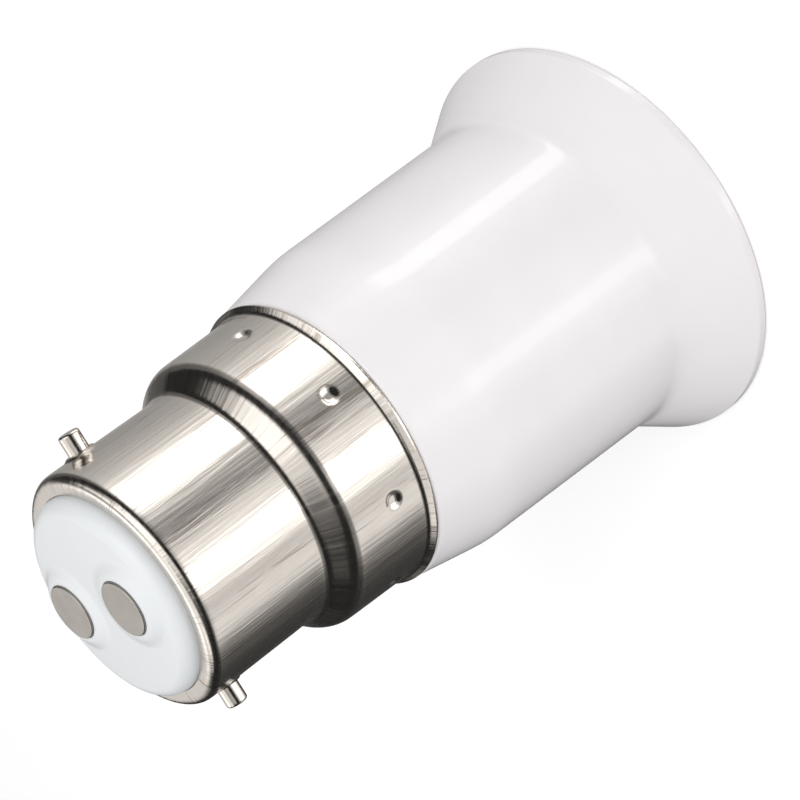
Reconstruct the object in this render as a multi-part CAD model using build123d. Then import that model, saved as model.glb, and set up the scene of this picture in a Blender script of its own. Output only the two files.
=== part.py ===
from build123d import *
import os
from math import atan2, cos, radians, sin, sqrt, tan

# Bayonet-cap to screw-socket lamp adapter, in millimetres and degrees.
# The frame's origin is the centre of the round mouth's rim, +Z runs up the axis to
# the bayonet cap, and the two bayonet pins point along +X and -X.

# Screw socket: a thin shell rolled to the round-crested lamp thread
thread_pitch = 3.629
thread_major_diameter = 26.7
thread_depth = 1.1
thread_length = 17.6
thread_crest_flat = 0.1
thread_spare_turns = 3
screw_sheet = 0.3
screw_setback = 9.7
screw_bore_clearance = 0.1
screw_flange_width = 2.2
screw_lug_width = 5.0

# White moulded housing
barrel_wall = 1.2
barrel_taper_angle = 1.45
flare_width = 3.75
flare_height = 6.0
flare_blend_radius = 4.5
mouth_land_height = 1.1
mouth_wall = 1.7
mouth_edge_radius = 0.45
mouth_inner_height = 1.4
throat_height = 7.6
neck_start_rise = 0.9
neck_height = 7.1
neck_step = 0.6
neck_blend_radius = 14.0
neck_edge_radius = 0.4
floor_thickness = 2.4
spigot_wall = 1.65
spigot_clearance = 0.05
spigot_edge_radius = 0.5

# Bayonet cap shell, drawn from sheet
cap_sheet = 0.35
cap_diameter = 22.0
cap_height = 12.5
cap_edge_radius = 1.0
cap_lip_width = 1.6
shoulder_angle = 45.0
shoulder_base_radius = 0.45
shoulder_top_radius = 2.0
collar_diameter = 26.1
collar_height = 8.15
collar_draft = 0.2
collar_rim_flare = 0.5
collar_rim_height = 0.45
collar_rim_radius = 0.4
collar_reveal = 0.3

# Crimp dimples that hold the collar on the housing's spigot
crimp_count = 8
crimp_rise = 3.3
crimp_mouth_radius = 0.8
crimp_depth = 0.42
crimp_pit_clearance = 0.06

# Shouldered bayonet pins, each pressed in up to the low boss that it seats on
pin_diameter = 1.9
pin_reach = 2.0
pin_drop = 3.76
pin_edge_radius = 0.25
pin_shank_diameter = 1.5
pin_press_gap = 0.02
pin_boss_height = 0.25
pin_boss_wall = 0.2
pin_boss_spread = 0.25

# Insulator in the end of the cap
insulator_clearance = 0.1
insulator_wall = 1.9
insulator_plate = 2.4
insulator_skirt_below_pin = 2.2
insulator_edge_radius = 0.75
button_height = 1.4
button_edge_radius = 1.2
boss_margin = 0.55
boss_height = 0.8
boss_edge_radius = 0.3

# Flat contacts on the end of the cap
contact_spacing = 9.0
contact_line_angle = 86.0
contact_diameter = 5.0
contact_thickness = 0.6
contact_proud = 0.2
contact_edge_radius = 0.12
contact_seat_clearance = 0.05
contact_shank_diameter = 2.0
contact_shank_bore = 1.1
contact_shank_tail = 1.2
contact_flare_width = 0.5
contact_flare_height = 0.4

# Sprung centre contact at the bottom of the screw socket
strip_thickness = 0.4
strip_width = 6.0
strip_foot_length = 3.2
strip_heel_reach = 4.6
strip_heel_height = 2.2
strip_crown_offset = 1.5
strip_crown_depth = 5.8
strip_tip_length = 2.6
strip_tip_rise = 1.5
strip_heel_radius = 1.0
strip_crown_radius = 2.2
strip_corner_radius = 0.8

# Rivets through the housing floor
rivet_diameter = 2.4
rivet_hole_clearance = 0.05
rivet_head_diameter = 3.9
rivet_head_height = 0.8
rivet_tail_diameter = 3.6
rivet_tail_height = 0.6
rivet_edge_radius = 0.3

# Solder tags and wires inside the neck
tag_sheet = 0.4
tag_ring_width = 0.9
tag_tail_width = 2.4
tag_tail_reach = 3.4
tag_tail_height = 4.0
tag_bend_radius = 0.5
tag_wall_gap = 0.2
core_diameter = 0.9
core_gap = 0.03
insulation_diameter = 1.9
strip_back_length = 4.2
core_entry = 1.0
wire_bend_share = 0.45
slack_low_rise = 13.0
slack_high_rise = 17.4
live_slack_spots = ((-6.2, 2.6), (-2.6, 6.2))
neutral_slack_spots = ((6.6, -5.6), (2.2, -2.2))
live_tag_turn = 180.0
neutral_tag_turn = 0.0
solder_radius = 1.15
solder_cone_height = 0.9
solder_cone_wall = 0.45

# Radii and heights worked out from the sizes above
thread_major = thread_major_diameter / 2
thread_minor = thread_major - thread_depth
thread_arc = ((thread_pitch / 2) ** 2 + thread_depth**2) / (4 * thread_depth)
screw_outer = thread_major + screw_sheet
bore_radius = screw_outer + screw_bore_clearance
socket_depth = screw_setback + thread_length + screw_sheet
floor_top = socket_depth + floor_thickness

flare_top = mouth_land_height + flare_height
barrel_top = socket_depth + neck_start_rise
barrel_top_radius = bore_radius + barrel_wall
barrel_bottom_radius = barrel_top_radius + (barrel_top - flare_top) * tan(radians(barrel_taper_angle))
mouth_radius = barrel_bottom_radius + flare_width
mouth_inner_radius = mouth_radius - mouth_wall

neck_top = barrel_top + neck_height
collar_radius = collar_diameter / 2
collar_top_radius = collar_radius - collar_draft
cap_radius = cap_diameter / 2
shoulder_height = (collar_top_radius - cap_radius) / tan(radians(shoulder_angle))
collar_rim_z = neck_top + collar_reveal
collar_bend = collar_rim_z + collar_rim_height
shoulder_low = collar_rim_z + collar_height
shoulder_high = shoulder_low + shoulder_height
cap_top = shoulder_high + cap_height
cap_inner_radius = cap_radius - cap_sheet
collar_inner_radius = collar_radius - cap_sheet
lip_radius = cap_radius - cap_lip_width
spigot_radius = collar_inner_radius - spigot_clearance
spigot_top_radius = spigot_radius - collar_draft
spigot_top = shoulder_low - shoulder_top_radius * tan(radians(shoulder_angle / 2))
cavity_radius = spigot_radius - spigot_wall
neck_top_radius = collar_radius + neck_step

crimp_z = collar_rim_z + crimp_rise
crimp_ball = (crimp_mouth_radius**2 + crimp_depth**2) / (2 * crimp_depth)
crimp_share = (crimp_z - collar_bend) / (shoulder_low - collar_bend)
crimp_face_radius = collar_radius - collar_draft * crimp_share
crimp_centre_radius = crimp_face_radius + crimp_ball - crimp_depth

pin_radius = pin_diameter / 2
pin_shank_radius = pin_shank_diameter / 2
pin_hole_radius = pin_shank_radius + pin_press_gap
pin_seat = cap_radius + pin_boss_height
pin_tip = cap_radius + pin_reach
pin_z = cap_top - pin_drop
insulator_radius = cap_inner_radius - insulator_clearance
insulator_seat = cap_top - cap_sheet
insulator_under = insulator_seat - insulator_plate
insulator_bottom = pin_z - insulator_skirt_below_pin
insulator_inner_radius = insulator_radius - insulator_wall
button_radius = lip_radius - insulator_clearance
button_top = cap_top + button_height
boss_top = button_top + boss_height
contact_radius = contact_diameter / 2
contact_top = boss_top + contact_proud
contact_seat = contact_top - contact_thickness
shank_radius = contact_shank_diameter / 2
shank_end = insulator_under - contact_shank_tail

rivet_radius = rivet_diameter / 2
rivet_hole_radius = rivet_radius + rivet_hole_clearance
tag_ring_radius = rivet_hole_radius + tag_ring_width
rivet_circle = cavity_radius - tag_ring_radius - tag_wall_gap
core_radius = core_diameter / 2
lug_seat = socket_depth - screw_sheet
strip_seat = socket_depth - strip_thickness
tag_top = floor_top + tag_sheet

# Spots of the plan: the axis, the live and neutral contacts, and the shell's two rivets
axis_spot = Vector(0, 0)
live_spot = Vector(contact_spacing / 2, 0).rotate(Axis.Z, contact_line_angle)
neutral_spot = -live_spot
front_rivet_spot = Vector(0, -rivet_circle)
rear_rivet_spot = Vector(0, rivet_circle)


def on_axis_plane(section):
    """Stand a section drawn as (radius, height) up in the plane of the part's axis."""
    return Plane.XZ * section


def turned(corners):
    """Turn a closed outline of (radius, height, rounding) corners about the axis."""
    points = [(radius, height) for radius, height, _ in corners]
    rounding = [corner[2] for corner in corners]
    outline = FilletPolyline(*points, radius=rounding, close=True)
    return revolve(on_axis_plane(make_face(outline)), axis=Axis.Z)


def sheet_section(points, rounding, thickness, side):
    """Section of a bent sheet, given one face's line and the side that the metal lies on."""
    face_line = FilletPolyline(*points, radius=rounding)
    return make_face(offset(face_line, amount=thickness, side=side, closed=True))


def post(radius, low, high, spot=axis_spot):
    """Upright cylinder between two heights, on a spot of the plan."""
    body = Cylinder(radius, high - low, align=(Align.CENTER, Align.CENTER, Align.MIN))
    return Pos(spot.X, spot.Y, low) * body


def side_pin(radius, inner, outer, turn):
    """Cylinder that lies along a radius at the pins' height."""
    body = Cylinder(radius, outer - inner, align=(Align.CENTER, Align.CENTER, Align.MIN))
    return Rot(0, 0, turn) * Pos(inner, 0, pin_z) * Rot(0, 90, 0) * body


def place_on(spot, shape):
    """Move a shape from the axis to a spot of the plan."""
    return Pos(spot.X, spot.Y, 0) * shape


def crimp_places():
    """Centres of the crimp balls, spaced evenly and midway past the pins."""
    step = 360 / crimp_count
    turns = [step * i + step / 2 for i in range(crimp_count)]
    return [Rot(0, 0, turn) * Pos(crimp_centre_radius, 0, crimp_z) for turn in turns]


def make_housing():
    """White moulding: flared mouth, barrel, neck, spigot for the collar, and the floor."""
    corners = [
        (mouth_inner_radius, 0, mouth_edge_radius / 2),
        (mouth_radius, 0, mouth_edge_radius),
        (mouth_radius, mouth_land_height, mouth_edge_radius),
        (barrel_bottom_radius, flare_top, flare_blend_radius),
        (barrel_top_radius, barrel_top, neck_blend_radius),
        (neck_top_radius, neck_top, neck_edge_radius),
        (spigot_radius, neck_top, 0),
        (spigot_top_radius, spigot_top, spigot_edge_radius),
        (cavity_radius, spigot_top, spigot_edge_radius),
        (cavity_radius, floor_top, 0),
        (0, floor_top, 0),
        (0, socket_depth, 0),
        (bore_radius, socket_depth, 0),
        (bore_radius, throat_height, mouth_wall),
        (mouth_inner_radius, mouth_inner_height, mouth_wall),
    ]
    body = turned(corners)
    for spot in (axis_spot, front_rivet_spot, rear_rivet_spot):
        body -= post(rivet_hole_radius, socket_depth, floor_top, spot)
    pit_radius = crimp_ball + cap_sheet + crimp_pit_clearance
    return body - [place * Sphere(pit_radius) for place in crimp_places()]


def make_cap_shell():
    """Drawn cap: inward lip, plain cylinder, shoulder, slightly conical collar with a flared rim, crimps."""
    face = [
        (lip_radius, cap_top),
        (cap_radius, cap_top),
        (cap_radius, shoulder_high),
        (collar_top_radius, shoulder_low),
        (collar_radius, collar_bend),
        (collar_radius + collar_rim_flare, collar_rim_z),
    ]
    rounding = [cap_edge_radius, shoulder_base_radius, shoulder_top_radius, collar_rim_radius]
    section = sheet_section(face, rounding, cap_sheet, Side.RIGHT)
    shell = revolve(on_axis_plane(section), axis=Axis.Z)
    within_collar = turned(
        [
            (0, collar_bend, 0),
            (collar_radius, collar_bend, 0),
            (collar_top_radius, shoulder_low, 0),
            (0, shoulder_low, 0),
        ]
    )
    shell += [place * Sphere(crimp_ball + cap_sheet) & within_collar for place in crimp_places()]
    shell -= [place * Sphere(crimp_ball) for place in crimp_places()]
    for turn in (0, 180):
        shell += pin_boss(turn)
        shell -= side_pin(pin_hole_radius, cap_inner_radius - cap_sheet, pin_tip, turn)
    return shell


def pin_boss(turn):
    """Low raised collar, drawn up from the sheet around a pin's hole."""
    root = cap_radius - cap_sheet / 2
    face = pin_radius + pin_boss_wall
    base = face + pin_boss_spread
    cone = Cone(base, face, pin_seat - root, align=(Align.CENTER, Align.CENTER, Align.MIN))
    return Rot(0, 0, turn) * Pos(root, 0, pin_z) * Rot(0, 90, 0) * cone


def make_pin(turn):
    """Bayonet pin: a head that stands on the boss, and a shank into the insulator's skirt."""
    head = side_pin(pin_radius, pin_seat, pin_tip, turn)
    tip = head.edges().filter_by(GeomType.CIRCLE).sort_by_distance((0, 0, pin_z))[-1]
    return fillet(tip, pin_edge_radius) + side_pin(pin_shank_radius, insulator_inner_radius, pin_seat, turn)


def make_insulator():
    """Cup-shaped insert: its plate bears on the shell's lip and a button shows through."""
    corners = [
        (0, insulator_under, 0),
        (insulator_inner_radius, insulator_under, 0),
        (insulator_inner_radius, insulator_bottom, 0),
        (insulator_radius, insulator_bottom, 0),
        (insulator_radius, insulator_seat, insulator_edge_radius),
        (button_radius, insulator_seat, 0),
        (button_radius, button_top, button_edge_radius),
        (0, button_top, 0),
    ]
    insert = turned(corners)
    for spot in (live_spot, neutral_spot):
        insert += place_on(spot, contact_boss())
        insert -= post(contact_radius + contact_seat_clearance, contact_seat, contact_top, spot)
        insert -= post(shank_radius + contact_seat_clearance, insulator_under, contact_top, spot)
    for turn in (0, 180):
        insert -= side_pin(pin_hole_radius, insulator_inner_radius / 2, cap_radius, turn)
    return insert


def contact_boss():
    """Round boss that carries one flat contact, with a rounded top edge."""
    boss = post(contact_radius + boss_margin, insulator_seat, boss_top)
    return fillet(boss.edges().sort_by(Axis.Z)[-1], boss_edge_radius)


def make_cap_contact(spot):
    """Flat contact with a hollow shank, swaged out below the insulator."""
    bore = contact_shank_bore / 2
    flare = shank_radius + contact_flare_width
    flare_low = insulator_under - contact_flare_height
    corners = [
        (0, contact_seat, 0),
        (bore, contact_seat, 0),
        (bore, shank_end, 0),
        (shank_radius, shank_end, 0),
        (shank_radius, flare_low, 0),
        (flare, flare_low, contact_edge_radius),
        (flare, insulator_under, 0),
        (shank_radius, insulator_under, 0),
        (shank_radius, contact_seat, 0),
        (contact_radius, contact_seat, 0),
        (contact_radius, contact_top, contact_edge_radius),
        (0, contact_top, 0),
    ]
    return place_on(spot, turned(corners))


def thread_section(sheet_offset, top, closing):
    """Section of one thread groove: two crest arcs and the root arc, closed outside them."""
    crest_arc = thread_arc + sheet_offset
    root_arc = thread_arc - sheet_offset
    crest_centre = thread_major - thread_arc
    root_centre = thread_minor + thread_arc
    half_pitch = thread_pitch / 2
    rise = root_centre - crest_centre
    meet_angle = atan2(rise, half_pitch)
    meet = (crest_centre + crest_arc * sin(meet_angle), half_pitch - crest_arc * cos(meet_angle))
    top_half = half_pitch - sqrt(crest_arc**2 - (top - crest_centre) ** 2)
    top_angle = atan2(top - crest_centre, half_pitch - top_half)
    mid_angle = (meet_angle + top_angle) / 2
    mid = (crest_centre + crest_arc * sin(mid_angle), half_pitch - crest_arc * cos(mid_angle))
    return make_face(
        [
            Line((closing, -top_half), (top, -top_half)),
            ThreePointArc((top, -top_half), (mid[0], -mid[1]), (meet[0], -meet[1])),
            ThreePointArc((meet[0], -meet[1]), (root_centre - root_arc, 0), meet),
            ThreePointArc(meet, mid, (top, top_half)),
            Line((top, top_half), (closing, top_half)),
            Line((closing, top_half), (closing, -top_half)),
        ]
    )


def threaded_rod(sheet_offset):
    """Solid rod with the round thread rolled into it, as long as the thread."""
    crest = thread_major + sheet_offset - thread_crest_flat
    closing = crest + thread_depth
    turns = int(thread_length / thread_pitch) + thread_spare_turns
    section = on_axis_plane(thread_section(sheet_offset, crest + thread_crest_flat / 2, closing))
    coil = sweep(section, path=Helix(thread_pitch, turns * thread_pitch, thread_minor), is_frenet=True)
    groove = Pos(0, 0, -thread_spare_turns / 2 * thread_pitch) * coil & post(2 * closing, 0, thread_length)
    return post(crest, 0, thread_length) - groove


def make_screw_shell():
    """Rolled screw shell with a turned-in flange and two lugs for its rivets."""
    wall = Pos(0, 0, screw_setback) * (threaded_rod(screw_sheet) - threaded_rod(0))
    flange = post(screw_outer, lug_seat, socket_depth)
    flange -= post(thread_minor - screw_flange_width, lug_seat, socket_depth)
    shell = wall + flange
    lug_length = thread_minor - rivet_circle
    for spot in (front_rivet_spot, rear_rivet_spot):
        outward = spot.normalized()
        middle = spot + outward * lug_length / 2
        arm = Pos(middle.X, middle.Y, lug_seat) * Box(
            screw_lug_width, lug_length, screw_sheet, align=(Align.CENTER, Align.CENTER, Align.MIN)
        )
        shell += arm + post(screw_lug_width / 2, lug_seat, socket_depth, spot)
        shell -= post(rivet_hole_radius, lug_seat, socket_depth, spot)
    return shell


def make_centre_contact():
    """One bent spring strip: riveted foot, heel, sloping tongue, crown and turned-up tip."""
    face = [
        (-strip_foot_length, socket_depth),
        (strip_heel_reach, socket_depth),
        (strip_heel_reach, socket_depth - strip_heel_height),
        (-strip_crown_offset, socket_depth - strip_crown_depth),
        (-strip_crown_offset - strip_tip_length, socket_depth - strip_crown_depth + strip_tip_rise),
    ]
    rounding = [strip_heel_radius, strip_heel_radius, strip_crown_radius]
    section = sheet_section(face, rounding, strip_thickness, Side.LEFT)
    strip = extrude(on_axis_plane(section), strip_width / 2, both=True)
    across_sheet = strip.edges().filter_by(GeomType.LINE).sort_by(SortBy.LENGTH)[:4]
    strip = fillet(across_sheet, strip_corner_radius)
    return strip - post(rivet_hole_radius, strip_seat, socket_depth)


def make_rivet(spot, head_seat, tail_seat):
    """Rivet with a rounded head below the floor and its swaged tail above."""
    head_radius = rivet_head_diameter / 2
    tail_radius = rivet_tail_diameter / 2
    corners = [
        (0, head_seat - rivet_head_height, 0),
        (head_radius, head_seat - rivet_head_height, rivet_head_height / 2),
        (head_radius, head_seat, 0),
        (rivet_radius, head_seat, 0),
        (rivet_radius, tail_seat, 0),
        (tail_radius, tail_seat, 0),
        (tail_radius, tail_seat + rivet_tail_height, rivet_edge_radius),
        (0, tail_seat + rivet_tail_height, 0),
    ]
    return place_on(spot, turned(corners))


def make_tag(spot, turn):
    """Solder tag: a ring under the rivet's tail, with one tail bent upright."""
    face = [(0, floor_top), (tag_tail_reach, floor_top), (tag_tail_reach, floor_top + tag_tail_height)]
    section = sheet_section(face, [tag_bend_radius + tag_sheet], tag_sheet, Side.LEFT)
    tag = extrude(on_axis_plane(section), tag_tail_width / 2, both=True)
    tag += post(tag_ring_radius, floor_top, tag_top)
    tag -= post(rivet_hole_radius, floor_top, tag_top)
    return place_on(spot, Rot(0, 0, turn) * tag)


def tag_joint(spot, turn):
    """Where a bare core lies against the outer face of a tag's tail, part way up."""
    out = Vector(tag_tail_reach + core_radius + core_gap, 0).rotate(Axis.Z, turn)
    return Vector(spot.X + out.X, spot.Y + out.Y, floor_top + tag_tail_height / 2)


def wire_route(joint, slack_spots, spot):
    """Route of one wire: up its tag, round its slack bends, and up into the contact's shank."""
    slack_heights = (floor_top + slack_low_rise, floor_top + slack_high_rise)
    bends = [Vector(x, y, z) for (x, y), z in zip(slack_spots, slack_heights)]
    start = joint - Vector(0, 0, solder_radius)
    lift = joint + Vector(0, 0, strip_back_length)
    turn_in = Vector(spot.X, spot.Y, shank_end - strip_back_length)
    finish = Vector(spot.X, spot.Y, shank_end + core_entry)
    points = [start, lift, *bends, turn_in, finish]
    radii = []
    for before, here, after in zip(points, points[1:], points[2:]):
        run_in = here - before
        run_out = after - here
        half_turn = radians(run_in.get_angle(run_out) / 2)
        radii.append(wire_bend_share * min(run_in.length, run_out.length) / tan(half_turn))
    return Wire(FilletPolyline(*points, radius=radii).edges())


def rod_along(route, radius):
    """Round rod swept along a route."""
    start = Plane(origin=route @ 0, z_dir=route % 0)
    return sweep(start * Circle(radius), path=route)


def make_insulation(route):
    """Wire covering, stripped back from both ends of the core."""
    strip_share = (strip_back_length - solder_radius / 2) / route.length
    covered = route.trim(strip_share, 1 - strip_share)
    return rod_along(covered, insulation_diameter / 2) - rod_along(covered, core_radius + core_gap)


def make_tag_solder(joint, turn):
    """Bead of solder on the tag's tail, around the core."""
    bead = Pos(*joint) * Sphere(solder_radius)
    tail_face = Pos(*joint) * Rot(0, 0, turn) * Pos(-core_radius - core_gap / 2, 0, 0)
    size = 2 * solder_radius
    bead &= tail_face * Box(size, size, size, align=(Align.MIN, Align.CENTER, Align.CENTER))
    return bead - post(core_radius + core_gap, joint.Z - size, joint.Z + size, joint)


def make_contact_solder(spot):
    """Cone of solder under a contact's shank, around the core."""
    bore = core_radius + core_gap
    low = shank_end - solder_cone_height
    corners = [
        (bore, low, 0),
        (bore + solder_cone_wall / 2, low, 0),
        (bore + solder_cone_wall, shank_end, 0),
        (bore, shank_end, 0),
    ]
    return place_on(spot, turned(corners))


live_joint = tag_joint(axis_spot, live_tag_turn)
neutral_joint = tag_joint(front_rivet_spot, neutral_tag_turn)
live_route = wire_route(live_joint, live_slack_spots, live_spot)
neutral_route = wire_route(neutral_joint, neutral_slack_spots, neutral_spot)

nodes = {
    "housing": make_housing(),
    "bayonet_cap_shell": make_cap_shell(),
    "bayonet_pin_right": make_pin(0),
    "bayonet_pin_left": make_pin(180),
    "cap_insulator": make_insulator(),
    "live_cap_contact": make_cap_contact(live_spot),
    "neutral_cap_contact": make_cap_contact(neutral_spot),
    "screw_shell": make_screw_shell(),
    "screw_shell_rivet_front": make_rivet(front_rivet_spot, lug_seat, tag_top),
    "screw_shell_rivet_rear": make_rivet(rear_rivet_spot, lug_seat, floor_top),
    "centre_contact": make_centre_contact(),
    "centre_contact_rivet": make_rivet(axis_spot, strip_seat, tag_top),
    "live_solder_tag": make_tag(axis_spot, live_tag_turn),
    "neutral_solder_tag": make_tag(front_rivet_spot, neutral_tag_turn),
    "live_wire_core": rod_along(live_route, core_radius),
    "live_wire_insulation": make_insulation(live_route),
    "neutral_wire_core": rod_along(neutral_route, core_radius),
    "neutral_wire_insulation": make_insulation(neutral_route),
    "live_tag_solder": make_tag_solder(live_joint, live_tag_turn),
    "neutral_tag_solder": make_tag_solder(neutral_joint, neutral_tag_turn),
    "live_contact_solder": make_contact_solder(live_spot),
    "neutral_contact_solder": make_contact_solder(neutral_spot),
}

os.makedirs("parts", exist_ok=True)
for name, shape in nodes.items():
    export_step(shape, f"parts/{name}.step")
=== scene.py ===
"""Dresses a lamp socket adapter: a flared white housing with a plated bayonet cap.

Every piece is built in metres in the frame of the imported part: the mouth's rim stands on
z = 0, the axis runs up +Z to the cap, and the two bayonet pins point along +X and -X.
"""

import math

import bmesh
import bpy
import numpy as np
from bpy.props import FloatProperty, FloatVectorProperty, IntProperty, PointerProperty
from bpy.types import Operator, Panel, PropertyGroup
from mathutils import Matrix, Vector


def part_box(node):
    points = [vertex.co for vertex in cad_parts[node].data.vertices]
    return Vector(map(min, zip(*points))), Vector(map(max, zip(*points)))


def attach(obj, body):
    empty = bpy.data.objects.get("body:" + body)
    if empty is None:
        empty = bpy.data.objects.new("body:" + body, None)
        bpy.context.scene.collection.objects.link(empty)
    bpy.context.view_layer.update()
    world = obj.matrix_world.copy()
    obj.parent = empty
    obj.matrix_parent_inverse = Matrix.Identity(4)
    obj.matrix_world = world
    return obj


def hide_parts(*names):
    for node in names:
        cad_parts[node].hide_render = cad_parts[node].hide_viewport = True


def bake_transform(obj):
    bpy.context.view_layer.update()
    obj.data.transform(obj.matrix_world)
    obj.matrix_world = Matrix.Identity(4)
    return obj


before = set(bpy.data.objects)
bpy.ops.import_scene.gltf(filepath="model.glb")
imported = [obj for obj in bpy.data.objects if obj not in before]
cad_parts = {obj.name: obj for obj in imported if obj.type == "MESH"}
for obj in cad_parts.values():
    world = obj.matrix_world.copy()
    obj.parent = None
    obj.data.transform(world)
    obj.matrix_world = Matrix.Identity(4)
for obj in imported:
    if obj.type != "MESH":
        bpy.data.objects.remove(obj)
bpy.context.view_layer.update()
housing_low, housing_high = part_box("housing")
shell_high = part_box("bayonet_cap_shell")[1]
insulator_low, insulator_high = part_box("cap_insulator")
contact_low, contact_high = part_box("live_cap_contact")
mouth_reach = min(housing_high.x, -housing_low.x, housing_high.y, -housing_low.y)

bl_info = {
    "name": "Lamp Socket Adapter",
    "version": (1, 0, 0),
    "blender": (4, 5, 0),
    "location": "View3D > Sidebar > Adapter",
    "description": "Builds the looks of a bayonet-cap to screw-socket lamp adapter",
    "category": "Object",
}

# Bodies of the motion model
BODY = "adapter_body"

# Columns around the turned pieces, and rows across the strip
HOUSING_COLUMNS = 208
INSULATOR_COLUMNS = 256
CONTACT_COLUMNS = 96
PIN_COLUMNS = 64
STRIP_ROWS = 25

# Degrees between the cap shell's columns, and how far they stay close around a crimp or a pin
CRIMP_STEP = 0.5
CRIMP_REACH = 5.0
PIN_STEP = 0.6
PIN_REACH = 9.6
PLAIN_STEP = 2.5

# Height between the cap shell's rows on a straight run, the slope up to which a run counts as straight,
# and how far the rows stay close around a crimp or a pin's boss, in its radii
PLAIN_ROW = 0.0006
STRAIGHT_SLOPE = 0.04
CRIMP_ROWS = 1.25
BOSS_ROWS = 1.15

# Fewest pieces of an arc, angle up to which edges look smooth, distance under which points are one
LEAST_ARC_PIECES = 3
SMOOTH_ANGLE = math.radians(32)
MERGE_DISTANCE = 1e-7
TINY = 1e-9

# Rounded end of a sheet: points across it, and its swell as a share of the thickness
END_POINTS = 3
END_SWELL = 0.25

# Flat middle of a crimp dimple as a share of its radius, and height above the neck where the crimps reach
DIMPLE_FLAT = 0.25
SPIGOT_CLEAR = 0.0005

# Height above the insulator's plate where its button is shaped, and how far a boss's slope starts inside
# the boss, as a share of the slope
BUTTON_CLEAR = 0.0004
BOSS_OVERLAP = 0.25

# Stage, and the gap between shader nodes in their editor
FLOOR_REACH = 2.0
DOME_MIDDLE = (0.0, 0.0, 0.03)
WARM_WHITE = (1.0, 0.985, 0.965, 1.0)
WHITE = (1.0, 1.0, 1.0, 1.0)
NODE_GAP = 220

# Sockets of the mix node that carry colour: factor and both colours, and the result
MIX_INPUTS = (0, 6, 7)
MIX_RESULT = 2


def length(name, description, default):
    """Length property in metres."""
    return FloatProperty(name=name, description=description, default=default, unit="LENGTH", precision=5)


def colour(name, description, default):
    """Colour property, linear."""
    return FloatVectorProperty(
        name=name, description=description, default=default, subtype="COLOR", min=0.0, max=1.0
    )


def vector(name, description, default, subtype):
    """Vector property of a place or a direction."""
    return FloatVectorProperty(
        name=name, description=description, default=default, subtype=subtype, precision=5
    )


def power(name, description, default):
    """Lamp power property in watts."""
    return FloatProperty(name=name, description=description, default=default, unit="POWER")


def number(name, description, default):
    """Plain number property."""
    return FloatProperty(name=name, description=description, default=default)


class HousingSizes(PropertyGroup):
    """Sizes of the white housing."""

    mouth_radius: length("Mouth radius", "Outside of the flared mouth", mouth_reach)
    mouth_wall: length("Mouth wall", "Thickness of the mouth's rim", 0.0017)
    mouth_land: length("Mouth land", "Upright band around the rim", 0.0011)
    mouth_edge: length("Mouth edge", "Rounding of the rim's edges", 0.00045)
    flare_top: length("Flare top", "Height where the flare meets the barrel", 0.0071)
    flare_blend: length("Flare blend", "Rounding from flare to barrel", 0.0034)
    barrel_low_radius: length("Barrel low radius", "Barrel radius at the flare", 0.015492)
    barrel_top: length("Barrel top", "Height where the neck starts", 0.0285)
    barrel_top_radius: length("Barrel top radius", "Barrel radius at the neck", 0.01495)
    neck_top: length("Neck top", "Height of the neck's small end", 0.0356)
    neck_radius: length("Neck radius", "Radius of the neck's small end", 0.01365)
    neck_blend: length("Neck blend", "Rounding from barrel to neck", 0.014)
    neck_edge: length("Neck edge", "Rounding of the neck's small end", 0.0004)
    spigot_radius: length("Spigot radius", "Foot of the spigot inside the collar", 0.01265)
    spigot_top_radius: length("Spigot top radius", "Small end of the spigot", 0.01245)
    spigot_top: length("Spigot top", "Height of the spigot's end", housing_high.z)
    spigot_edge: length("Spigot edge", "Rounding of the spigot's end", 0.0005)
    cavity_radius: length("Cavity radius", "Space for the wires in the neck", 0.011)
    floor_low: length("Floor low", "Socket side of the floor", 0.0276)
    floor_top: length("Floor top", "Wire side of the floor", 0.03)
    bore_radius: length("Bore radius", "Bore around the screw shell", 0.01375)
    throat: length("Throat", "Height where the bore opens into the mouth", 0.0076)
    mouth_inside: length("Mouth inside", "Height of the mouth's inner corner", 0.0014)


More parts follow.
